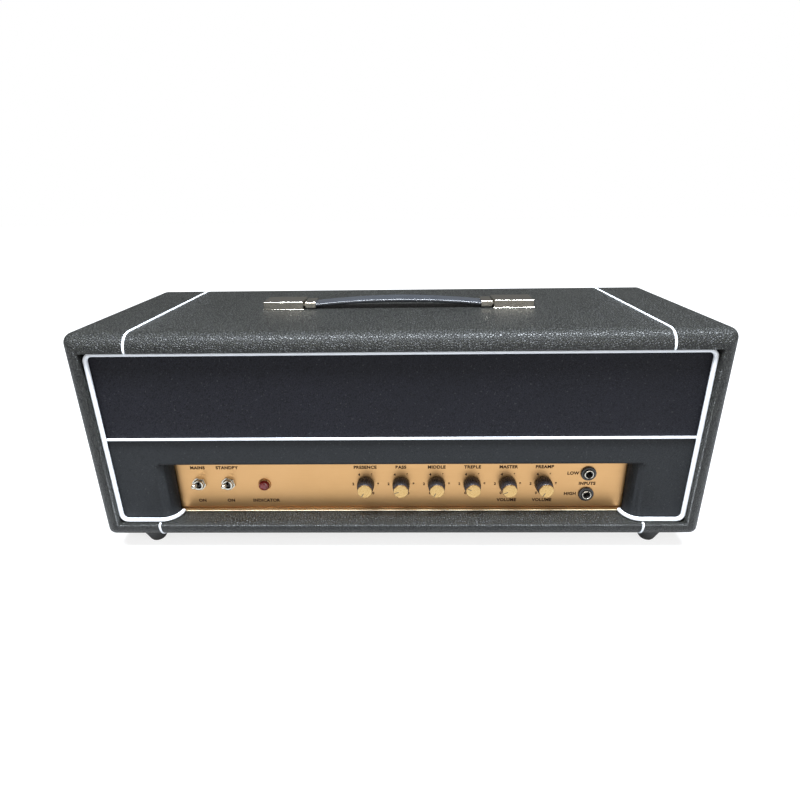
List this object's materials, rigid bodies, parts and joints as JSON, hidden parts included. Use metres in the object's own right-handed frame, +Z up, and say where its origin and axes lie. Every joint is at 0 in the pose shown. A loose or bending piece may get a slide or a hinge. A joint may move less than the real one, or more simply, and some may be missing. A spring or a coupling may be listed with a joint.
{
  "type": "guitar amplifier head",
  "caption": "Valve guitar amplifier head in a black vinyl-covered box with white piping, a recessed gold control panel, fluted knobs, toggle switches, input jacks and a strap handle.",
  "frame": {"origin": "on the floor under the middle of the cabinet", "axes": "+X to the right along the width as seen from the front, +Y to the rear, +Z up"},
  "size_m": [0.67, 0.2372, 0.2703],
  "materials": {
    "black_vinyl": "coarse grained, satin",
    "dark_panel_cloth": "fine grained blue-black",
    "charcoal_panel": "smooth satin",
    "white_piping": "satin",
    "bare_plywood": "unfinished",
    "perforated_steel": "satin black",
    "gold_panel": "mirror anodised gold",
    "zinc_chassis": "zinc plated",
    "nickel": "polished nickel",
    "knob_black": "satin",
    "steel": "plain",
    "jewel_red": "deep red, faceted",
    "black_phenolic": "moulded",
    "handle_rubber": "glossy black",
    "foot_rubber": "matte",
    "transformer_iron": "black lacquer",
    "winding_paper": "varnished",
    "tube_glass": "clear",
    "tube_metal": "dark grey",
    "ceramic_white": "unglazed",
    "capacitor_aluminium": "satin",
    "circuit_board": "phenolic laminate",
    "component_yellow": "moulded"
  },
  "bodies": {
    "cabinet": {"board_components": "component_yellow", "bottom_board": "bare_plywood", "chassis": "zinc_chassis", "chassis_bolts": "steel", "choke": "transformer_iron", "control_panel": "gold_panel", "filter_capacitors": "capacitor_aluminium", "foot_screws": "steel", "front_piping": "white_piping", "fuse_holders": "black_phenolic", "handle_bolts": "steel", "handle_end_caps": "nickel", "indicator_holder": "nickel", "indicator_lens": "jewel_red", "input_jacks": "black_phenolic", "lower_front_panel": "charcoal_panel", "mains_inlet": "black_phenolic", "output_transformer": "transformer_iron", "panel_cleats": "bare_plywood", "panel_nuts": "nickel", "potentiometers": "steel", "power_transformer": "transformer_iron", "rear_panel": "black_vinyl", "rear_panel_screws": "nickel", "rubber_feet": "foot_rubber", "seam_piping": "white_piping", "selector_switch": "black_phenolic", "side_boards": "bare_plywood", "speaker_jacks": "black_phenolic", "toggle_switches": "nickel", "top_board": "bare_plywood", "transformer_windings": "winding_paper", "tube_anodes": "tube_metal", "tube_bases": "black_phenolic", "tube_glass": "tube_glass", "tube_sockets": "ceramic_white", "turret_board": "circuit_board", "upper_front_panel": "dark_panel_cloth", "vent_grille": "perforated_steel", "vinyl_covering": "black_vinyl"},
    "presence_control": {"knob_presence": "knob_black", "shaft_presence": "steel"},
    "bass_control": {"knob_bass": "knob_black", "shaft_bass": "steel"},
    "middle_control": {"knob_middle": "knob_black", "shaft_middle": "steel"},
    "treble_control": {"knob_treble": "knob_black", "shaft_treble": "steel"},
    "master_control": {"knob_master": "knob_black", "shaft_master": "steel"},
    "preamp_control": {"knob_preamp": "knob_black", "shaft_preamp": "steel"},
    "mains_switch": {"mains_toggle_lever": "nickel"},
    "standby_switch": {"standby_toggle_lever": "nickel"},
    "mains_fuse_drawer": {"mains_fuse_cap": "black_phenolic"},
    "ht_fuse_drawer": {"ht_fuse_cap": "black_phenolic"},
    "selector": {"impedance_selector": "knob_black"},
    "strap": {"handle_strap": "handle_rubber"},
    "strap_end_left": {"handle_ferrule_left": "nickel"},
    "strap_end_right": {"handle_ferrule_right": "nickel"}
  },
  "joints": [
    {"name": "presence_turn", "type": "hinge", "parent": "cabinet", "child": "presence_control", "pos_m": [-0.0384, -0.091, 0.071], "axis": [0, 1, 0], "range_deg": [0, 300]},
    {"name": "bass_turn", "type": "hinge", "parent": "cabinet", "child": "bass_control", "pos_m": [0.0019, -0.091, 0.071], "axis": [0, 1, 0], "range_deg": [-43, 257]},
    {"name": "middle_turn", "type": "hinge", "parent": "cabinet", "child": "middle_control", "pos_m": [0.0422, -0.091, 0.071], "axis": [0, 1, 0], "range_deg": [0, 300]},
    {"name": "treble_turn", "type": "hinge", "parent": "cabinet", "child": "treble_control", "pos_m": [0.0825, -0.091, 0.071], "axis": [0, 1, 0], "range_deg": [-87, 213]},
    {"name": "master_turn", "type": "hinge", "parent": "cabinet", "child": "master_control", "pos_m": [0.1228, -0.091, 0.071], "axis": [0, 1, 0], "range_deg": [-35, 265]},
    {"name": "preamp_turn", "type": "hinge", "parent": "cabinet", "child": "preamp_control", "pos_m": [0.1631, -0.091, 0.071], "axis": [0, 1, 0], "range_deg": [0, 300]},
    {"name": "mains_throw", "type": "hinge", "parent": "cabinet", "child": "mains_switch", "pos_m": [-0.229, -0.0928, 0.073], "axis": [1, 0, 0], "range_deg": [0, 42]},
    {"name": "standby_throw", "type": "hinge", "parent": "cabinet", "child": "standby_switch", "pos_m": [-0.1955, -0.0928, 0.073], "axis": [1, 0, 0], "range_deg": [0, 42]},
    {"name": "mains_fuse_twist", "type": "hinge", "parent": "cabinet", "child": "mains_fuse_drawer", "pos_m": [-0.15, 0.0965, 0.071], "axis": [0, -1, 0], "range_deg": [0, 60]},
    {"name": "ht_fuse_twist", "type": "hinge", "parent": "cabinet", "child": "ht_fuse_drawer", "pos_m": [-0.114, 0.0965, 0.071], "axis": [0, -1, 0], "range_deg": [0, 60]},
    {"name": "impedance_turn", "type": "hinge", "parent": "cabinet", "child": "selector", "pos_m": [0.02, 0.0965, 0.071], "axis": [0, -1, 0], "range_deg": [-45, 45]},
    {"name": "handle_lift", "type": "slide", "parent": "cabinet", "child": "strap", "axis": [0, 0, 1], "range_m": [0, 0.02], "deforming": ["handle_strap"]},
    {"name": "handle_slide_left", "type": "slide", "parent": "strap", "child": "strap_end_left", "axis": [0.2195, 0, -0.9756], "range_m": [0, 0.0206]},
    {"name": "handle_slide_right", "type": "slide", "parent": "strap", "child": "strap_end_right", "axis": [-0.2195, 0, -0.9756], "range_m": [0, 0.0206]}
  ],
  "couplings": [
    {"joint": "handle_slide_left", "follows": "handle_lift", "ratio": 1.025},
    {"joint": "handle_slide_right", "follows": "handle_lift", "ratio": 1.025}
  ]
}
